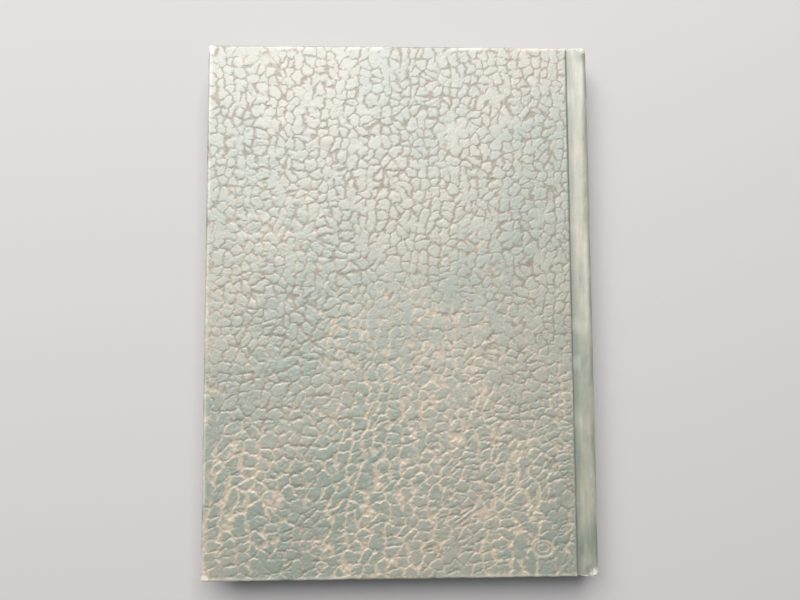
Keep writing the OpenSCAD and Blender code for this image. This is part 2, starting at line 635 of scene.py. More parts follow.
def outward(points: Array, faces: list[list[int]]) -> list[list[int]]:
    """Turns all faces over if they enclose a volume below 0.

    Args:
        points: The corners.
        faces: Faces that already agree with each other.

    Returns:
        The faces, pointing outward.
    """
    total = 0.0
    for face in faces:
        a = points[face[0]]
        for i in range(1, len(face) - 1):
            total += float(np.dot(a, np.cross(points[face[i]], points[face[i + 1]])))
    return faces if total > 0 else [face[::-1] for face in faces]


class Ripple:
    """Smooth random waves over a plane, the same on every run."""

    def __init__(self, seed: int, size: int = 64) -> None:
        """Draws the lattice."""
        self.size = size
        self.lattice = np.random.default_rng(seed).uniform(-1, 1, (size, size))

    def at(self, x: Array, y: Array, scale: float) -> Array:
        """Reads the waves.

        Args:
            x: First coordinates, in millimetres.
            y: Second coordinates.
            scale: The length of a wave, in millimetres.

        Returns:
            Values from -1 to 1.
        """
        u, v = x / scale + 1000.0, y / scale + 1000.0
        i, j = np.floor(u).astype(int), np.floor(v).astype(int)
        s, t = u - i, v - j
        s, t = s * s * (3 - 2 * s), t * t * (3 - 2 * t)
        n = self.size
        a = self.lattice[i % n, j % n]
        b = self.lattice[(i + 1) % n, j % n]
        c = self.lattice[i % n, (j + 1) % n]
        d = self.lattice[(i + 1) % n, (j + 1) % n]
        return (a * (1 - s) + b * s) * (1 - t) + (c * (1 - s) + d * s) * t


def step_between(low: float, high: float, value: Array) -> Array:
    """A smooth step from 0 at low to 1 at high."""
    t = np.clip((value - low) / (high - low), 0, 1)
    return t * t * (3 - 2 * t)


# ---- the grain


@dataclass
class CrinkleGrain:
    """The pressed grain of the covering, as heights over a plane."""

    seed: int
    cell_x: float = 4.2
    cell_y: float = 4.3
    depth: float = 0.20
    stamp: Optional[tuple[float, float]] = None

    def cells(self, x: Array, y: Array, width: float, height: float, seed: int
              ) -> tuple[Array, Array, Array, Array]:
        """Distances to the nearest cell centres.

        Args:
            x: First coordinates, in millimetres.
            y: Second coordinates.
            width: The mean width of a cell.
            height: The mean height of a cell.
            seed: Which cells.

        Returns:
            The nearest distance, the second nearest, a random value for the
            cell, and how far the wall between the two lies from upright.
        """
        size = 96
        rng = np.random.default_rng(seed)
        jitter = rng.uniform(0.08, 0.92, (size, size, 2))
        tone = rng.uniform(0, 1, (size, size))
        u, v = x / width + 500.0, y / height + 500.0
        i, j = np.floor(u).astype(int), np.floor(v).astype(int)
        first = np.full(x.shape, 9.0)
        second = np.full(x.shape, 9.0)
        shade = np.zeros(x.shape)
        near = np.zeros(x.shape + (2,))
        next_near = np.zeros(x.shape + (2,))
        for di in (-1, 0, 1):
            for dj in (-1, 0, 1):
                a, b = (i + di) % size, (j + dj) % size
                du = i + di + jitter[a, b, 0] - u
                dv = j + dj + jitter[a, b, 1] - v
                far = np.hypot(du, dv)
                closer = far < first
                between = ~closer & (far < second)
                second = np.where(closer, first, np.where(between, far, second))
                next_near = np.where(closer[..., None], near, next_near)
                next_near[between] = np.stack([du, dv], -1)[between]
                near[closer] = np.stack([du, dv], -1)[closer]
                shade = np.where(closer, tone[a, b], shade)
                first = np.where(closer, far, first)
        gap = next_near - near
        upright = np.abs(gap[..., 0]) / (np.hypot(gap[..., 0], gap[..., 1]) + 1e-6)
        return first, second, shade, upright

    def read(self, x: Array, y: Array) -> tuple[Array, Array, Array]:
        """The grain over a plane.

        Args:
            x: First coordinates, in millimetres.
            y: Second coordinates.

        Returns:
            The height in millimetres, the crease from 0 to 1, and the tone of
            each plateau from 0 to 1, raised towards the tail as painted light.
        """
        wave_a, wave_b = Ripple(self.seed + 1), Ripple(self.seed + 2)
        tail = step_between(5.0, -90.0, y)
        slope = tail * (0.30 + 0.35 * wave_a.at(x, y, 30.0))
        ragged_x = 0.45 * wave_a.at(x, y, 1.7) + 0.42 * wave_a.at(x + 40, y, 0.9)
        ragged_y = 0.45 * wave_b.at(x, y, 1.6) + 0.42 * wave_b.at(x + 40, y, 0.85)
        wx = x + 1.5 * wave_a.at(x, y, 8.5) + 0.7 * wave_a.at(x + 90, y, 4.2) + ragged_x
        wy = y - x * slope * 0.4 + 1.5 * wave_b.at(x, y, 8.0) + 0.7 * wave_b.at(x + 90, y, 4.0) + ragged_y
        wx = wx * (1 - 0.24 * tail)
        first, second, tone, upright = self.cells(wx, wy, self.cell_x, self.cell_y, self.seed)
        wall = (second - first) * (self.cell_x + self.cell_y) / 2
        kept = step_between(-0.75, 0.05, wave_a.at(x + 300, y, 3.6) + 0.10 + 0.20 * upright)
        width = 0.80 - 0.14 * tail + 0.34 * wave_b.at(x, y + 300, 3.0) + 0.50 * upright * (1 - 0.6 * tail)
        crease = (1 - step_between(0.0, 1.2, wall / width)) * (0.22 + 0.78 * kept)
        halo = (1 - step_between(0.0, 2.6, wall / width)) * (0.30 + 0.70 * kept)
        one, two, _, _ = self.cells(wx + 31, wy, 1.9, 2.1, self.seed + 7)
        crack = (1 - step_between(0.0, 0.62, (two - one) * 2.0)) * 0.50
        crack *= step_between(-0.15, 0.55, wave_b.at(x, y, 4.0))
        ribbon = np.abs(wave_a.at(wx * 0.9 - wy * 0.12 * (1 + tail), wy * 0.16 + 40, 5.2))
        ribbon = (1 - step_between(0.0, 0.20, ribbon)) * step_between(-0.2, 0.5, wave_b.at(x - 90, y, 17.0))
        arc = np.abs(wave_b.at(wx * 0.22 + 60, wy - 0.38 * wx * (0.4 + tail), 4.6))
        arc = (1 - step_between(0.0, 0.10, arc)) * step_between(-0.2, 0.5, wave_a.at(x - 200, y, 9.0)) * tail
        deep = np.clip(np.maximum(np.maximum(crease, crack), 0.9 * arc) + 0.12 * ribbon, 0, 1)
        dome = np.sqrt(np.clip(1 - first ** 2, 0, 1))
        pebble = wave_b.at(wx, wy, 1.3) * 0.55 + wave_a.at(wx + 9, wy, 0.85) * 0.45
        height = self.depth * (0.32 * dome + (0.26 + 0.20 * tail) * pebble - (0.52 + 0.90 * tail) * deep)
        height += self.depth * 0.35 * wave_b.at(x, y, 3.4)
        patch = np.clip(0.45 + 0.75 * wave_a.at(x - 400, y * 0.6, 22.0), 0, 1)
        tone = np.maximum(halo, 0.9 * crack) * (0.42 + 0.58 * upright) * (0.45 + 0.55 * patch)
        # Painted light: the tan is raised towards the tail, so the creases read lighter at the bottom and,
        # through the painted crease shade, darker at the top.
        tone = (tone + 0.38 * ribbon * patch + 0.35 * arc) * (0.50 + 0.68 * step_between(45.0, -75.0, y))
        tone = np.clip(tone + 0.16 * (wave_a.at(x, y, 1.9) - 0.1), 0, 1)
        crease = deep
        if self.stamp is not None:
            height, crease, tone = self.stamped(x, y, height, crease, tone)
        return height, crease, tone

    def stamped(self, x: Array, y: Array, height: Array, crease: Array, tone: Array
                ) -> tuple[Array, Array, Array]:
        """Presses a plain oval ring into the grain, as a maker's blind stamp.

        Args:
            x: First coordinates, in millimetres.
            y: Second coordinates.
            height: The grain's height.
            crease: The grain's creases.
            tone: The plateaus' tones.

        Returns:
            The three, changed inside the ring.
        """
        out = np.hypot((x - self.stamp[0]) / 4.2, (y - self.stamp[1]) / 3.3)
        inner = np.hypot((x - self.stamp[0]) / 2.4, (y - self.stamp[1]) / 1.6)
        flat = 1 - step_between(0.95, 1.15, out)
        line = (1 - step_between(0.08, 0.16, np.abs(out - 0.92)))
        line = np.maximum(line, (1 - step_between(0.10, 0.22, np.abs(inner - 0.9))) * 0.85)
        height = height * (1 - 0.75 * flat) - 0.10 * flat - 0.07 * line
        crease = np.maximum(crease * (1 - 0.6 * flat), line * 0.8)
        return height, crease, tone * (1 - flat) + flat * (0.22 + 0.55 * line)


# ---- the case


class Side(Enum):
    """Which cover of the book."""

    BACK = "back"
    FRONT = "front"

    @property
    def text(self) -> str:
        """The body of the half of the block under this cover."""
        return f"text_{self.value}"

    @property
    def cover(self) -> str:
        """The body of this cover."""
        return f"{self.value}_cover"


@dataclass
class Book:
    """Sizes read from the frame, in millimetres."""

    x0: float = field(init=False)
    x1: float = field(init=False)
    y1: float = field(init=False)
    top: float = field(init=False)
    board_x: float = field(init=False)
    page_x1: float = field(init=False)
    page_y: float = field(init=False)

    def __post_init__(self) -> None:
        """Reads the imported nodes' boxes."""
        low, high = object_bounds()
        self.x0, self.x1 = low[0] / MM, high[0] / MM
        self.y1, self.top = high[1] / MM, high[2] / MM
        self.board_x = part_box("back_side_cover")[1][0] / MM
        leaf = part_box("back_flyleaf")
        self.page_x1, self.page_y = leaf[1][0] / MM, leaf[1][1] / MM

    def turned(self, side: Side, depth: Array) -> Array:
        """Heights from depths below one cover's outer face."""
        return self.top - depth if side is Side.BACK else np.asarray(depth)


@dataclass
class SideCover:
    """The grained covering of one board, wrapped over its three free edges."""

    book: Book
    side: Side
    step: float
    grain: CrinkleGrain
    skin: float = 0.35
    thick: float = 3.0
    turn_in: float = 15.0
    fore_round: float = 0.85
    spine_round: float = 0.55
    spine_reach: float = 0.45
    corner: float = 1.0

    def loops(self) -> list[Triple]:
        """The rings that carry the surface from the face round to its inside.

        Returns:
            Inset from the three free edges, inset from the spine-side edge,
            and depth, for each ring in order.
        """
        rings = []
        for turn in (22.5, 45.0, 67.5, 90.0):
            s, c = math.sin(math.radians(turn)), math.cos(math.radians(turn))
            rings.append((self.fore_round * (1 - s), self.spine_round * (1 - s),
                          self.fore_round * (1 - c)))
        rings += [(0.0, 0.15, 1.6), (0.0, 0.40, 2.45), (0.08, 0.48, 2.75), (0.3, 0.65, 2.93),
                  (0.7, 0.9, self.thick), (3.0, 1.2, self.thick), (self.turn_in, 1.6, self.thick),
                  (self.turn_in + 0.2, 1.8, self.thick - 0.06),
                  (self.turn_in + 0.2, 1.8, self.thick - 0.24),
                  (self.skin + 0.1, self.skin + 0.45, self.thick - 0.26),
                  (self.skin + 0.1, self.skin + 0.45, 0.6)]
        return rings

    def rounded(self, x: Array, y: Array) -> tuple[Array, Array]:
        """Rounds the two fore-edge corners in plan.

        Args:
            x: First coordinates.
            y: Second coordinates.

        Returns:
            The coordinates, drawn into a quarter circle near each corner.
        """
        r = self.corner
        u = np.clip((self.book.x0 + r - x) / r, 0, 1)
        v = np.clip((np.abs(y) - (self.book.y1 - r)) / r, 0, 1)
        nu = u * np.sqrt(1 - v * v / 2)
        nv = v * np.sqrt(1 - u * u / 2)
        return x + (u - nu) * r, y - np.sign(y) * (v - nv) * r

    def build(self, finish: Material) -> Object:
        """Builds the covering.

        Args:
            finish: Its material.

        Returns:
            The piece.
        """
        book = self.book
        far = book.board_x + self.spine_reach
        ax, bx = book.x0 + self.fore_round, far - self.spine_round
        ay, by = -book.y1 + self.fore_round, book.y1 - self.fore_round
        nx, ny = int(round((bx - ax) / self.step)), int(round((by - ay) / self.step))
        gx, gy = np.meshgrid(np.linspace(ax, bx, nx + 1), np.linspace(ay, by, ny + 1))
        height, crease, tone = self.grain.read(gx, gy)
        margin = np.minimum(np.minimum(gx - ax, by - gy), gy - ay)
        held = step_between(-0.4, 1.4, margin) * step_between(-0.3, 0.7, bx - gx)
        bow = 0.06 * Ripple(self.grain.seed + 50).at(gx, gy, 60.0) - 0.11
        height = height * (0.25 + 0.75 * held) + bow * step_between(0.0, 14.0, margin)
        # The grain stays between the cover's outer face and the board under the covering.
        middle, reach, softness = -0.170, 0.163, 0.145
        height = middle + reach * np.tanh((height - middle) / softness)
        wave = Ripple(self.grain.seed + 60)
        edge = 1 - step_between(0.0, 1.1, margin + 0.5 * wave.at(gx, gy, 3.0))
        tip = np.hypot(np.maximum(gx - ax, 0), np.minimum(gy - ay, by - gy))
        tip_right = np.hypot(np.maximum(bx - gx, 0) * 1.4, np.minimum(gy - ay, by - gy))
        worn = 0.42 * edge * step_between(-0.5, 0.5, wave.at(gx + 90, gy, 9.0) + 0.2)
        worn += 1 - step_between(0.8, 2.8, tip + 0.8 * wave.at(gx, gy + 50, 1.7))
        worn += 0.4 * (1 - step_between(0.4, 1.6, tip_right))
        rx, ry = self.rounded(gx, gy)
        top = np.column_stack([rx.ravel(), ry.ravel(), -height.ravel()])
        points = [top]
        marks = {"worn": [worn.ravel()], "tone": [tone.ravel()], "crease": [crease.ravel()]}
        number = np.arange((nx + 1) * (ny + 1)).reshape(ny + 1, nx + 1)
        ring = border(number)
        faces = tiles(number)
        last = ring
        start = len(top)
        edge_x, edge_y = gx.ravel()[ring], gy.ravel()[ring]
        for order, (free, spine, depth) in enumerate(self.loops()):
            cx, dx = book.x0 + free, far - spine
            cy, dy = -book.y1 + free, book.y1 - free
            px = cx + (edge_x - ax) * (dx - cx) / (bx - ax)
            py = cy + (edge_y - ay) * (dy - cy) / (by - ay)
            px, py = self.rounded(px, py)
            if free < 0.5:
                lump = 0.5 + 0.7 * wave.at(edge_x, edge_y, 2.1) + 0.5 * wave.at(edge_x, edge_y + 30, 0.8)
                lump = np.clip(lump, 0, 1) * 0.16 * (1 - order / 12.0)
                lump *= step_between(0.8, 3.5, np.hypot(edge_x - ax, by - np.abs(edge_y)))
                px += lump * (edge_x < ax + 1e-6)
                py -= np.sign(edge_y) * lump * (np.abs(edge_y) > by - 1e-6)
            if order < 4:
                lift = height.ravel()[ring] * (1 - order / 4.0)
            else:
                lift = 0.0
            points.append(np.column_stack([px, py, np.full(len(ring), depth) - lift]))
            fade = max(0.0, 1 - order / 7.0)
            soft = wave.at(edge_x, edge_y + order, 2.4) * 0.25
            marks["worn"].append(np.clip(worn.ravel()[ring] * (0.6 + 0.4 * fade) + soft * fade, 0, 1))
            marks["tone"].append(tone.ravel()[ring])
            marks["crease"].append(crease.ravel()[ring] * (0.35 + 0.65 * fade))
            here = np.arange(start, start + len(ring))
            after = np.roll(np.arange(len(ring)), -1)
            faces += np.stack([last[after], last, here, here[after]], -1).tolist()
            last, start = here, start + len(ring)
        faces.append(last.tolist()[::-1])
        cloud = np.vstack(points)
        cloud[:, 2] = book.turned(self.side, cloud[:, 2])
        values = {key: np.concatenate(parts) for key, parts in marks.items()}
        if self.side is Side.FRONT:
            faces = [face[::-1] for face in faces]
        piece = shape(f"{self.side.value}_grained_cover", cloud, faces, finish, values=values, sharp=1.2)
        return seated(piece, self.side.cover, f"{self.side.value}_side_cover")


@dataclass
class SpineCloth:
    """The smooth cloth: a wrap round the spine and a strip in each joint groove."""

    book: Book
    thick: float = 0.55
    split: float = 73.4
    rings: int = 260
    wave: Ripple = field(default_factory=lambda: Ripple(411))

    def crest(self, x: Array) -> Array:
        """Depth of the cloth under a cover's face, across the joint.

        Args:
            x: Places across the joint, in millimetres.

        Returns:
            Depths in millimetres.
        """
        places = np.array([66.0, 69.0, 69.9, 70.4, 70.9, 71.6, 72.6, 73.8, 74.8, 75.6, 76.3, 76.9, 77.4,
                           77.85, 78.2, 78.42])
        depths = np.array([0.80, 1.00, 1.45, 1.78, 1.80, 1.50, 1.02, 0.55, 0.27, 0.14, 0.12, 0.22, 0.45,
                           0.85, 1.45, 2.3])
        return np.interp(x, places, depths)

    def outline(self, inner: bool) -> Array:
        """The wrap's outline in x and z, from one split to the other.

        Args:
            inner: Whether it is the inner face of the cloth.

        Returns:
            Rows of x and z, from the back cover's side down to the front's.
        """
        mid = self.book.top / 2
        xs = np.concatenate([np.arange(self.split, 75.3, 0.45),
                             [75.45, 75.7, 75.95, 76.3, 76.6, 76.9, 77.15, 77.4, 77.62, 77.85, 78.05,
                              78.2, 78.32, 78.42]])
        zs = self.book.top - self.crest(xs)
        down = np.linspace(zs[-1] - 0.5, mid, 7)
        bulge = 78.46 + 0.04 * np.cos((down - mid) / mid * math.pi / 2)
        half = np.column_stack([np.concatenate([xs, bulge]), np.concatenate([zs, down])])
        if inner:
            tangent = np.gradient(half, axis=0)
            tangent /= np.linalg.norm(tangent, axis=1)[:, None]
            half = half + self.thick * np.column_stack([tangent[:, 1], -tangent[:, 0]])
            half[0, 0] = xs[0]
            half[-1] = [half[-1, 0], mid]
        under = half[:-1][::-1].copy()
        under[:, 1] = self.book.top - under[:, 1]
        return np.vstack([half, under])

    def stations(self) -> Array:
        """Places along the spine, close together near its two ends."""
        end = self.book.y1 - 0.02
        tail = np.array([0.0, 0.06, 0.16, 0.32, 0.55, 0.85, 1.3, 1.9, 2.7, 3.7, 5.0])
        middle = np.linspace(-end + 6.0, end - 6.0, self.rings)
        return np.concatenate([-end + tail, middle, (end - tail)[::-1]])

    def shaped(self, outline: Array, y: float, _: int) -> Array:
        """The outline at one place along the spine.

        Args:
            outline: The plain outline.
            y: The place.
            _: Its number, not used.

        Returns:
            The outline with its waves, and drawn in at head and tail.
        """
        mid = self.book.top / 2
        face = step_between(74.5, 78.4, outline[:, 0])
        yy = np.full(len(outline), y)
        sway = self.wave.at(yy, outline[:, 1] * 3.0, 11.0) * 0.16
        sway += self.wave.at(yy + 70, outline[:, 1] * 3.0, 3.4) * 0.06
        outline[:, 0] += (sway + 0.38) * face
        sign = np.where(outline[:, 1] > mid, 1.0, -1.0)
        outline[:, 1] += sign * self.lifted(yy, outline[:, 0]) * self.ridge(outline[:, 0])
        cap, pinch = self.pulled(y)
        outline[:, 1] -= sign * self.dipped(outline[:, 0], cap, pinch)
        outline[:, 0] -= (0.45 * pinch ** 2 + 0.10 * cap) * face
        return outline

    def pulled(self, y: float) -> tuple[float, float]:
        """How near a place is to head or tail, over the last millimetres and the very last one."""
        from_end = np.array(self.book.y1 - 0.02 - abs(y))
        return 1 - step_between(0.0, 3.2, from_end), 1 - step_between(0.0, 0.9, from_end)

    def ridge(self, x: Array) -> Array:
        """How much of the crest's waves a place across the joint takes, from 0 to 1."""
        return np.exp(-((x - 76.2) / 1.6) ** 2)

    def lifted(self, y: Array, x: Array) -> Array:
        """The waves along the crest."""
        long_wave = self.wave.at(y + 500, x * 0 + 7, 7.5) * 0.12
        return long_wave + self.wave.at(y + 900, x * 2.0, 2.2) * 0.05 - 0.05

    def dipped(self, x: Array, cap: float, pinch: float) -> Array:
        """How far the cloth dips at head and tail."""
        return 0.55 * cap * np.exp(-((x - 74.6) / 1.7) ** 2) + 0.5 * pinch ** 2

    def worn_at(self, points: Array) -> Array:
        """How rubbed the cloth is.

        Args:
            points: Points on it.

        Returns:
            The wear, from 0 to 1.
        """
        x, y, z = points.T
        end = self.book.y1 - np.abs(y)
        shoulder = np.minimum(z, self.book.top - z)
        edge = np.exp(-((x - 76.4) / 1.3) ** 2) * (shoulder < 1.2)
        patch = step_between(-0.15, 0.55, self.wave.at(y, z + 40, 16.0))
        worn = 0.34 * edge * patch
        worn += 0.30 * step_between(77.2, 78.3, x) * (shoulder < 3.0) * step_between(
            0.0, 0.7, self.wave.at(y + 210, z, 7.0))
        tip = np.hypot(end * 0.9, np.maximum(78.4 - x, 0) * 0.8)
        tip -= 1.1 * (y < 0)
        worn += (1 - step_between(0.5, 2.8, tip + 0.7 * self.wave.at(y * 3, x * 3, 1.3))) * (shoulder < 3.5)
        rim = 0.75 * (1 - step_between(0.15, 0.9, end + 0.5 * self.wave.at(x * 2, y, 1.4)))
        return np.clip(np.maximum(worn, rim * (shoulder < 3.0)), 0, 1)

    def painted_shade_at(self, points: Array) -> Array:
        """How much painted shade the cloth gets, in the groove, in the dip just inside its ends and in patches
        on its outer side.

        Args:
            points: Points on it.

        Returns:
            The painted shade, from 0 to 1.
        """
        x, y, _ = points.T
        end = self.book.y1 - np.abs(y)
        groove = 1 - step_between(70.9, 72.9, x + 0.5 * self.wave.at(y, x + 800, 9.0))
        well = np.exp(-((end - 3.2) / 1.8) ** 2 - ((x - 75.0) / 1.9) ** 2)
        side = 0.35 * step_between(77.6, 78.7, x) * step_between(-0.3, 0.5, self.wave.at(y - 300, x, 6.0))
        return np.clip(0.9 * groove + 0.8 * well + side, 0, 1)

    def wrap(self, finish: Material) -> Object:
        """Builds the wrap round the spine.

        Args:
            finish: Its material.

        Returns:
            The piece.
        """
        outer, inner = self.outline(False), self.outline(True)
        ring = np.vstack([outer, inner[::-1]])
        points, faces = swept(ring, self.stations(), self.shaped)
        piece = shape("spine_wrap", points, outward(points, faces), finish,
                      values={"worn": self.worn_at(points), "tone": self.painted_shade_at(points)}, sharp=0.9)
        return seated(piece, "spine", "spine_cloth")

    def strip(self, side: Side, finish: Material) -> Object:
        """Builds the cloth in one joint groove, from under the board's covering to the wrap.

        Args:
            side: Which joint.
            finish: Its material.

        Returns:
            The piece.
        """
        xs = np.concatenate([np.linspace(67.2, 69.9, 6), np.linspace(70.1, self.split + 0.9, 13)])
        depth = self.crest(xs) + 0.05 * step_between(self.split - 0.3, self.split + 0.05, xs)
        hidden = np.interp(xs, [66.0, 69.0, 69.45, 69.9], [1.9, 1.9, 1.6, 0.0]) * (xs < 69.9)
        outer = np.column_stack([xs, depth])
        outer[:, 1] = np.maximum(outer[:, 1], hidden)
        inner = np.column_stack([xs, outer[:, 1] + 0.45])
        ring = np.vstack([outer, inner[::-1]])
        ends = self.book.y1 - 0.06
        stations = np.concatenate([[-ends, -ends + 0.12, -ends + 0.4, -ends + 1.2],
                                   np.linspace(-ends + 3.0, ends - 3.0, 150),
                                   [ends - 1.2, ends - 0.4, ends - 0.12, ends]])

        def waved(outline: Array, y: float, _: int) -> Array:
            """The outline of the strip at one place."""
            yy = np.full(len(outline), y)
            free = step_between(69.9, 71.5, outline[:, 0]) * (1 - step_between(72.6, 73.3, outline[:, 0]))
            outline[:, 1] += free * 0.10 * self.wave.at(yy + 300, outline[:, 0], 5.0)
            outline[:, 1] -= self.lifted(yy, outline[:, 0]) * self.ridge(outline[:, 0])
            dip = self.dipped(outline[:, 0], *self.pulled(y))
            outline[:, 1] += dip * (np.arange(len(outline)) < len(xs))
            return outline

        points, faces = swept(ring, stations, waved)
        points[:, 2] = self.book.turned(side, points[:, 2])
        y = points[:, 1]
        worn = 0.14 * step_between(0.2, 0.8, self.wave.at(y, points[:, 0], 8.0))
        worn += 0.5 * (1 - step_between(0.2, 0.8, self.book.y1 - np.abs(y)))
        piece = shape(f"{side.value}_joint_strip", points, outward(points, faces), finish,
                      values={"worn": worn, "tone": self.painted_shade_at(points)}, sharp=0.9)
        height = float(self.book.turned(side, np.array(1.5)))
        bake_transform(piece)
        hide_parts(f"{side.value}_joint_cloth")
        return piece


# ---- the block


@dataclass
class Section:
    """One sewn section: sheets folded inside one another, each cut a little differently."""

    book: Book
    node: str
    body: str
    sheets: int = 4

    def build(self, finish: Material) -> Object:
        """Builds the folded sheets.

        Args:
            finish: The paper.

        Returns:
            The piece.
        """
        low, high = (np.array(corner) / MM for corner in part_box(self.node))
        mid, room = (low[2] + high[2]) / 2, (high[2] - low[2]) / 2
        leaf = room / self.sheets
        rng = np.random.default_rng(int(self.node[-2:]) * 17 + 3)
        all_points, all_faces, worn = [], [], []
        for sheet in range(self.sheets):
            outer = room - sheet * leaf
            inner = outer - leaf * 0.82
            fold_x = high[0] - room
            turns = np.radians(np.linspace(-90, 90, 9))
            for half in (-1, 1):
                reach = low[0] + rng.uniform(0.0, 0.22) + 0.05 * abs(sheet - 1.5)
                trim = self.book.page_y - rng.uniform(0.0, 0.16)
                bend = turns[turns * half >= -1e-9]
                bend = bend if half > 0 else bend[::-1]
                out_arc = np.column_stack([fold_x + outer * np.cos(bend), mid + outer * np.sin(bend)])
                in_arc = np.column_stack([fold_x + inner * np.cos(bend), mid + inner * np.sin(bend)])
                ring = np.vstack([out_arc, [[reach, mid + half * outer], [reach, mid + half * inner]],
                                  in_arc[::-1]])
                points, faces = swept(ring, np.array([-trim, -trim + 0.3, trim - 0.3, trim]))
                faces = outward(points, faces)
                shift = sum(len(p) for p in all_points)
                all_faces += [[i + shift for i in face] for face in faces]
                all_points.append(points)
                near = np.minimum(points[:, 0] - low[0], self.book.page_y - np.abs(points[:, 1]))
                worn.append(np.where(near < 0.28, rng.uniform(0.05, 0.55), 0.0))
        points = np.vstack(all_points)
        piece = shape(f"{self.node}_sheets", points, all_faces, finish,
                      values={"worn": np.concatenate(worn)}, sharp=0.5)
        return seated(piece, self.body, self.node)


@dataclass
class Leaf:
    """One free leaf, gently cockled, that runs down into the fold."""

    book: Book
    node: str
    body: str
    slot: str
    seed: int
    amount: float = 0.012

    def build(self, finish: Material) -> Object:
        """Builds the leaf.

        Args:
            finish: The paper.

        Returns:
            The piece.
        """
        low, high = (np.array(corner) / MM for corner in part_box(self.node))
        mid, half = (low[2] + high[2]) / 2, (high[2] - low[2]) / 2
        nx, ny = 60, 84
        gx, gy = np.meshgrid(np.linspace(low[0] + 0.05, high[0], nx + 1),
                             np.linspace(low[1] + 0.05, high[1] - 0.05, ny + 1))
        cockle = self.amount * Ripple(self.seed).at(gx, gy, 45.0)
        thin = half * 0.8
        points, faces = slab(gx, gy, mid + thin + cockle, 2 * thin)
        near = np.minimum(points[:, 0] - low[0], high[1] - np.abs(points[:, 1]))
        piece = shape(f"{self.node}_sheet", points, faces, finish,
                      values={"worn": np.where(near < 0.2, 0.35, 0.0)}, sharp=0.5)
        return seated(piece, self.body, self.node)


@dataclass
class Endpapers:
    """The paper pasted inside a cover, and the fold that joins it to its flyleaf."""

    book: Book
    side: Side
    margin: float = 3.4
    sheet: float = 0.12

    def pastedown(self, finish: Material) -> Object:
        """Builds the pasted sheet, which dips inside the turn-ins.

        Args:
            finish: The paper.

        Returns:
            The piece.
        """
        book = self.book
        nx, ny = 96, 140
        ax, bx = book.x0 + self.margin, book.board_x - 0.2
        by = book.y1 - self.margin
        gx, gy = np.meshgrid(np.linspace(ax, bx, nx + 1), np.linspace(-by, by, ny + 1))
        inside = np.minimum(gx - (book.x0 + 15.0), (book.y1 - 15.0) - np.abs(gy))
        ragged = inside + 0.8 * Ripple(77).at(gx, gy, 9.0)
        dip = 0.13 * step_between(-0.9, 1.4, ragged)
        face = 3.11 - dip + 0.01 * Ripple(78).at(gx, gy, 12.0)
        points, faces = slab(gx, gy, face, self.sheet)
        points[:, 2] = book.turned(self.side, points[:, 2])
        piece = shape(f"{self.side.value}_pasted_sheet", points, outward(points, faces), finish, sharp=0.5)
        return seated(piece, self.side.cover, f"{self.side.value}_pastedown")

    def hinge(self, finish: Material) -> Object:
        """Builds the fold between the pasted sheet and the block.

        Args:
            finish: The paper.

        Returns:
            The piece.
        """
        book = self.book
        xs = np.linspace(book.board_x - 1.6, book.page_x1 - 0.1, 18)
        depth = np.interp(xs, [67.0, 69.3, 70.2, 72.0, 73.4], [3.125, 3.125, 3.10, 3.12, 3.14])
        ring = np.vstack([np.column_stack([xs, depth]), np.column_stack([xs, depth - 0.09])[::-1]])
        end = book.page_y - 0.2
        points, faces = swept(ring, np.linspace(-end, end, 60))
        points[:, 2] = book.turned(self.side, points[:, 2])
        piece = shape(f"{self.side.value}_endpaper_fold", points, outward(points, faces), finish, sharp=0.5)
        height = float(book.turned(self.side, np.array(3.1)))
        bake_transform(piece)
        return piece


@dataclass
class Band:
    """A head or tail band: silk wound over a core, in two colours by turn."""

    node: str
    body: str
    pitch: float = 0.42

    def build(self, finish: Material) -> Object:
        """Builds the wound bead and its glued tab.

        Args:
            finish: The silk.

        Returns:
            The piece.
        """
        low, high = (np.array(corner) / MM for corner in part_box(self.node))
        head = 1.0 if high[1] > 0 else -1.0
        radius = 0.8
        centre = np.array([low[0] + radius, (high[1] - radius) if head > 0 else (low[1] + radius)])
        turns = max(2, int(round((high[2] - low[2]) / self.pitch)))
        pitch = (high[2] - low[2]) / turns
        points, faces, tone = [], [], []
        around, across = 20, 5
        for turn in range(turns):
            faces += tube(across + 1, around, len(points))
            for part in (k / across for k in range(across + 1)):
                swell = radius * (0.84 + 0.14 * math.sin(math.pi * part))
                z = min(max(low[2] + (turn + part) * pitch, low[2]), high[2])
                for angle in (2 * math.pi * a / around for a in range(around)):
                    points.append([centre[0] + swell * math.cos(angle),
                                   centre[1] + swell * math.sin(angle), z])
                    tone.append(float(turn % 2))
        cloud = np.array(points)
        tab = (73.53, 73.72)
        y0, y1 = (high[1] - 10.0, centre[1]) if head > 0 else (centre[1], low[1] + 10.0)
        start = len(cloud)
        corners = [[x, y, z] for z in (low[2] + 0.05, high[2] - 0.05) for y in (y0, y1) for x in tab]
        cloud = np.vstack([cloud, corners])
        box = [[0, 2, 3, 1], [4, 5, 7, 6], [0, 1, 5, 4], [2, 6, 7, 3], [0, 4, 6, 2], [1, 3, 7, 5]]
        faces += [[start + i for i in face] for face in box]
        tone += [1.0] * 8
        piece = shape(f"{self.node}_silk", cloud, faces, finish, values={"tone": np.array(tone)}, sharp=0.7)
        return seated(piece, self.body, self.node)


# ---- the setting


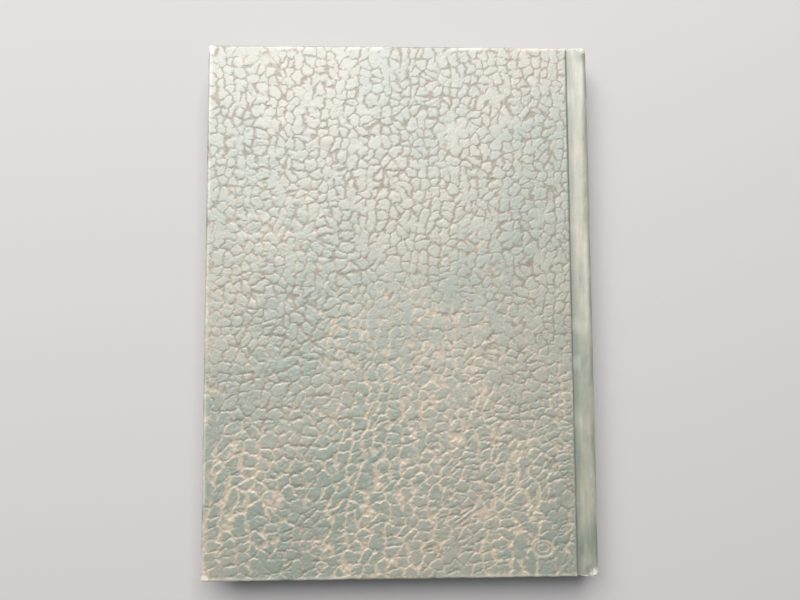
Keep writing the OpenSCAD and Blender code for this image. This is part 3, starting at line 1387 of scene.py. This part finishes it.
@dataclass
class Setting:
    """The ground, the lights and the camera."""

    focal: float = 31.5
    eye: Triple = (-8.2, -18.8, 300.1)
    turn: Triple = (4.252, -1.650, -0.284)
    ground_reach: float = 9000.0
    sky: Triple = (0.90, 0.95, 1.0)
    sky_strength: float = 0.19
    lamp_size: tuple[float, float] = (1.6, 1.1)
    lamp_power: float = 44.0
    lamp_spot: Triple = (-0.20, 0.84, 1.20)
    lamp_aim: Triple = (0.0, 0.05, 0.0)
    lamp_colour: Triple = (1.0, 0.955, 0.93)

    def ground(self, finish: Material) -> None:
        """Lays the plain pale ground.

        Args:
            finish: Its material.
        """
        far = self.ground_reach
        points = [[-far, -far, 0], [far, -far, 0], [far, far, 0], [-far, far, 0]]
        floor = shape("ground", np.array(points, float), [[0, 1, 2, 3]], finish, smooth=False)
        floor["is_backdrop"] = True

    def lights(self) -> None:
        """Hangs the window-like key light and fills the room."""
        world = bpy.data.worlds.new("soft_room")
        world.use_nodes = True
        back = world.node_tree.nodes["Background"]
        back.inputs[0].default_value = (*self.sky, 1.0)
        back.inputs[1].default_value = self.sky_strength
        bpy.context.scene.world = world
        light = bpy.data.lights.new("key", "AREA")
        light.shape = "RECTANGLE"
        light.size, light.size_y = self.lamp_size
        light.energy = self.lamp_power
        light.color = self.lamp_colour
        made = bpy.data.objects.new("key", light)
        bpy.context.scene.collection.objects.link(made)
        made.location = self.lamp_spot
        aim = Vector(self.lamp_aim) - Vector(self.lamp_spot)
        made.rotation_euler = aim.to_track_quat("-Z", "Y").to_euler()
        bpy.context.scene.view_settings.view_transform = "Standard"

    def camera(self) -> None:
        """Sets the camera nearly straight above the back cover."""
        lens = bpy.data.cameras.new("camera")
        lens.lens = self.focal
        lens.sensor_width = 36.0
        lens.clip_start = 0.01
        made = bpy.data.objects.new("camera", lens)
        made.location = [v * MM for v in self.eye]
        made.rotation_euler = [math.radians(v) for v in self.turn]
        bpy.context.scene.collection.objects.link(made)
        bpy.context.scene.camera = made


# ---- the whole


def dress(node: str, finish: Material) -> None:
    """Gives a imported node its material.

    Args:
        node: The node.
        finish: The material.
    """
    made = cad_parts[node]
    if not made.material_slots:
        made.data.materials.append(finish)
    for one in made.material_slots:
        one.material = finish


def main() -> None:
    """Builds every piece of the book in order."""
    logging.basicConfig(level=logging.INFO, format="%(message)s")
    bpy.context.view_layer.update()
    book = Book()
    finishes = Finishes()
    setting = Setting()
    setting.camera()
    setting.lights()
    setting.ground(finishes.floor)
    made: list[Object] = []
    made.append(SideCover(book, Side.BACK, 0.42, CrinkleGrain(11, stamp=(56.4, -96.6))).build(finishes.grained))
    made.append(SideCover(book, Side.FRONT, 0.62, CrinkleGrain(29)).build(finishes.grained))
    cloth = SpineCloth(book)
    made.append(cloth.wrap(finishes.cloth))
    for side in Side:
        made.append(cloth.strip(side, finishes.cloth))
        ends = Endpapers(book, side)
        made.append(ends.pastedown(finishes.endpaper))
        made.append(ends.hinge(finishes.endpaper))
        made.append(Leaf(book, f"{side.value}_flyleaf", f"{side.value}_flyleaf", "endpaper", 91).build(
            finishes.endpaper))
        for band in ("headband", "tailband"):
            made.append(Band(f"{band}_{side.value}", side.text).build(finishes.silk))
        for kind, finish in (("thread", finishes.thread), ("tapes", finishes.tape),
                             ("mull", finishes.mull), ("spine_lining", finishes.kraft)):
            dress(f"{kind}_{side.value}", finish)
        dress(f"{side.value}_board", finishes.board)
    dress("spine_inlay", finishes.board)
    for number in range(1, 13):
        body = "text_front" if number <= 6 else "text_back"
        made.append(Section(book, f"section_{number:02d}", body).build(finishes.page))
    for letter in "ab":
        made.append(Leaf(book, f"centre_leaf_{letter}", f"leaf_{letter}", "page_paper",
                         ord(letter)).build(finishes.page))
    for piece in made:
        LOG.info("%s: %d corners", piece.name, len(piece.data.vertices))


if __name__ == "__main__":
    main()
